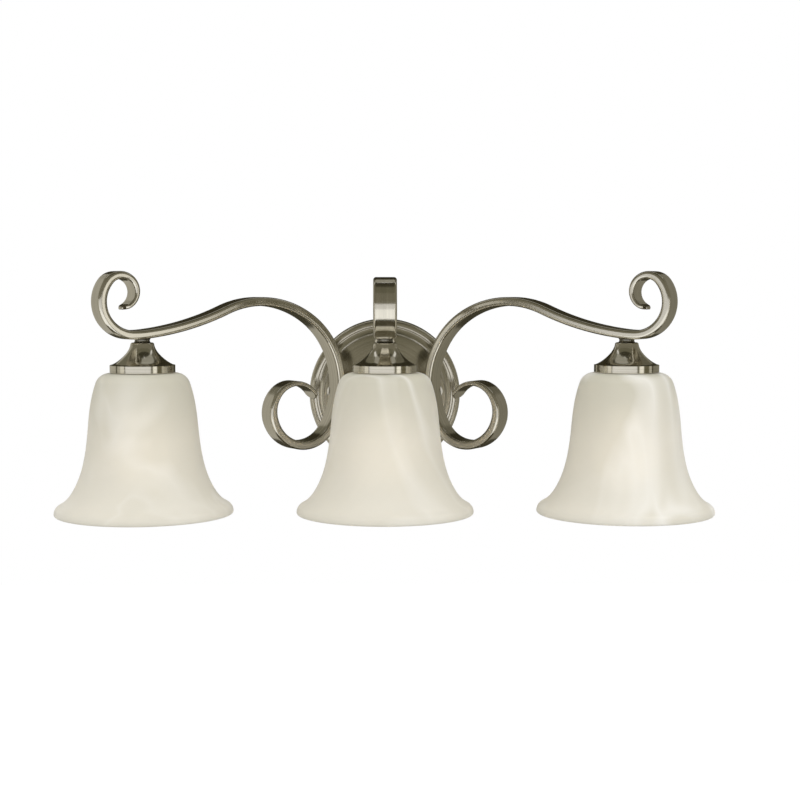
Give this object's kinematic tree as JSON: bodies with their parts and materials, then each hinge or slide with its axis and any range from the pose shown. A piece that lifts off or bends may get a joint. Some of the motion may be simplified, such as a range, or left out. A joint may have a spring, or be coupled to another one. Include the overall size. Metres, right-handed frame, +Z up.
{
  "type": "vanity light bar",
  "caption": "Bathroom wall light bar: round stepped canopy, scrolled flat-bar arms and downward bell shades of cloudy glass, bulbs inside.",
  "frame": {"origin": "centre of the canopy on the wall plane, midway between the crossbar's two slots", "axes": "+X along the wall to the right as one faces the light, +Y into the wall, +Z up"},
  "size_m": [0.6096, 0.224, 0.2235],
  "materials": {
    "brushed_nickel": "brushed",
    "polished_nickel": "polished, slightly dark",
    "alabaster_glass": "cloudy, satin",
    "zinc_steel": "plain zinc plate",
    "green_screw": "green chromate",
    "brass": "plain",
    "porcelain": "glazed",
    "bulb_glass": "frosted white",
    "bulb_nickel": "plain",
    "black_glass": "opaque black"
  },
  "bodies": {
    "root": {"canopy": "brushed_nickel", "crossbar": "zinc_steel", "ground_screw": "green_screw", "mounting_studs": "zinc_steel", "stud_nuts": "zinc_steel", "cap_nuts": "brushed_nickel", "arm_nipples": "zinc_steel", "arm_washers": "zinc_steel", "arm_nuts": "zinc_steel", "holder_washers": "zinc_steel", "holder_nuts": "zinc_steel", "terminal_screws": "brass", "arm_left": "brushed_nickel", "arm_boss_left": "brushed_nickel", "neck_ring_left": "polished_nickel", "holder_left": "brushed_nickel", "holder_tube_left": "zinc_steel", "socket_cap_left": "zinc_steel", "socket_body_left": "porcelain", "screw_shell_left": "brass", "centre_contact_left": "brass", "arm_centre": "brushed_nickel", "arm_boss_centre": "brushed_nickel", "neck_ring_centre": "polished_nickel", "holder_centre": "brushed_nickel", "holder_tube_centre": "zinc_steel", "socket_cap_centre": "zinc_steel", "socket_body_centre": "porcelain", "screw_shell_centre": "brass", "centre_contact_centre": "brass", "arm_right": "brushed_nickel", "arm_boss_right": "brushed_nickel", "neck_ring_right": "polished_nickel", "holder_right": "brushed_nickel", "holder_tube_right": "zinc_steel", "socket_cap_right": "zinc_steel", "socket_body_right": "porcelain", "screw_shell_right": "brass", "centre_contact_right": "brass"},
    "shade_left": {"shade_left": "alabaster_glass"},
    "ring_left": {"retaining_ring_left": "porcelain"},
    "bulb_left": {"bulb_glass_left": "bulb_glass", "bulb_base_left": "bulb_nickel", "bulb_insulator_left": "black_glass", "bulb_tip_left": "brass"},
    "shade_centre": {"shade_centre": "alabaster_glass"},
    "ring_centre": {"retaining_ring_centre": "porcelain"},
    "bulb_centre": {"bulb_glass_centre": "bulb_glass", "bulb_base_centre": "bulb_nickel", "bulb_insulator_centre": "black_glass", "bulb_tip_centre": "brass"},
    "shade_right": {"shade_right": "alabaster_glass"},
    "ring_right": {"retaining_ring_right": "porcelain"},
    "bulb_right": {"bulb_glass_right": "bulb_glass", "bulb_base_right": "bulb_nickel", "bulb_insulator_right": "black_glass", "bulb_tip_right": "brass"}
  },
  "joints": [
    {"name": "shade_left_drop", "type": "slide", "parent": "root", "child": "shade_left", "axis": [0, 0, -1], "range_m": [0, 0.015]},
    {"name": "ring_left_turn", "type": "hinge", "parent": "shade_left", "child": "ring_left", "pos_m": [-0.2228, -0.142, 0.0245], "axis": [0, 0, 1], "range_deg": [0, 1800]},
    {"name": "bulb_left_out", "type": "slide", "parent": "root", "child": "bulb_left", "axis": [0, 0, -1], "range_m": [0, 0.024]},
    {"name": "shade_centre_drop", "type": "slide", "parent": "root", "child": "shade_centre", "axis": [0, 0, -1], "range_m": [0, 0.015]},
    {"name": "ring_centre_turn", "type": "hinge", "parent": "shade_centre", "child": "ring_centre", "pos_m": [0, -0.142, 0.0245], "axis": [0, 0, 1], "range_deg": [0, 1800]},
    {"name": "bulb_centre_out", "type": "slide", "parent": "root", "child": "bulb_centre", "axis": [0, 0, -1], "range_m": [0, 0.024]},
    {"name": "shade_right_drop", "type": "slide", "parent": "root", "child": "shade_right", "axis": [0, 0, -1], "range_m": [0, 0.015]},
    {"name": "ring_right_turn", "type": "hinge", "parent": "shade_right", "child": "ring_right", "pos_m": [0.2228, -0.142, 0.0245], "axis": [0, 0, 1], "range_deg": [0, 1800]},
    {"name": "bulb_right_out", "type": "slide", "parent": "root", "child": "bulb_right", "axis": [0, 0, -1], "range_m": [0, 0.024]}
  ],
  "couplings": [
    {"joint": "ring_left_turn", "follows": "shade_left_drop", "rad_per_m": 2094.4},
    {"joint": "ring_centre_turn", "follows": "shade_centre_drop", "rad_per_m": 2094.4},
    {"joint": "ring_right_turn", "follows": "shade_right_drop", "rad_per_m": 2094.4}
  ]
}
